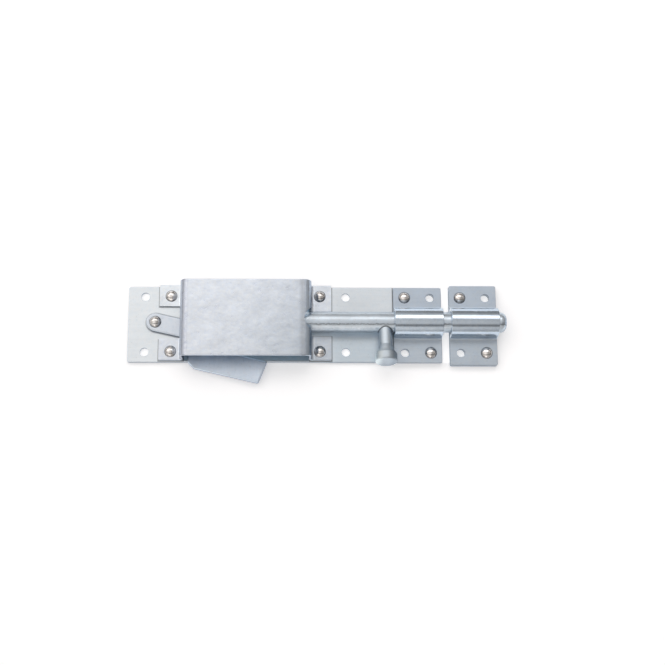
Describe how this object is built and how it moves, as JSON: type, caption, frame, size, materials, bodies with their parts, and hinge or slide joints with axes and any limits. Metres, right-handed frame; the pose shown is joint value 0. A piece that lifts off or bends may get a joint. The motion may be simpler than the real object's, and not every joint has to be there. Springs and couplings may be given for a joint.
{
  "type": "stable door bolt",
  "caption": "Round sliding door bolt on a long screw-on plate, with a bent sheet casing, a drop lever that locks it, a pull knob, a guide strap and a separate keeper.",
  "frame": {"origin": "centre of the four screw holes at the corners of the back plate, on the face that lies on the door", "axes": "+X along the bolt towards its tip and the keeper, +Y up on the door, +Z out of the door"},
  "size_m": [0.2932, 0.0779, 0.0265],
  "materials": {
    "plate_steel": "bright zinc-plated sheet with a faint grain",
    "casing_steel": "bright zinc-plated sheet, faintly mottled",
    "strap_steel": "bent plated sheet, a little darker",
    "bolt_steel": "turned bar, bright plated, fine rings",
    "lever_steel": "stamped plate, tumbled smooth and plated",
    "rivet_steel": "bright nickel rivet heads"
  },
  "bodies": {
    "root": {"back_plate": "plate_steel", "casing": "casing_steel", "casing_rivet_upper_left": "rivet_steel", "casing_rivet_lower_left": "rivet_steel", "casing_rivet_upper_right": "rivet_steel", "casing_rivet_lower_right": "rivet_steel", "lever_pivot_rivet": "rivet_steel", "guide_strap": "strap_steel", "guide_rivet_upper": "rivet_steel", "guide_rivet_lower": "rivet_steel", "keeper_plate": "plate_steel", "keeper_strap": "strap_steel", "keeper_rivet_upper": "rivet_steel", "keeper_rivet_lower": "rivet_steel"},
    "bolt": {"bolt_rod": "bolt_steel", "bolt_knob": "bolt_steel"},
    "lever": {"drop_lever": "lever_steel"}
  },
  "joints": [
    {"name": "bolt_slide", "type": "slide", "parent": "root", "child": "bolt", "axis": [-1, 0, 0], "range_m": [0, 0.045]},
    {"name": "lever_lift", "type": "hinge", "parent": "root", "child": "lever", "pos_m": [-0.0696, 0.0011, 0.0048], "axis": [0, 0, 1], "range_deg": [0, 13]}
  ],
  "couplings": [
    {"joint": "lever_lift", "follows": "bolt_slide", "rad_per_m": 5.04}
  ]
}
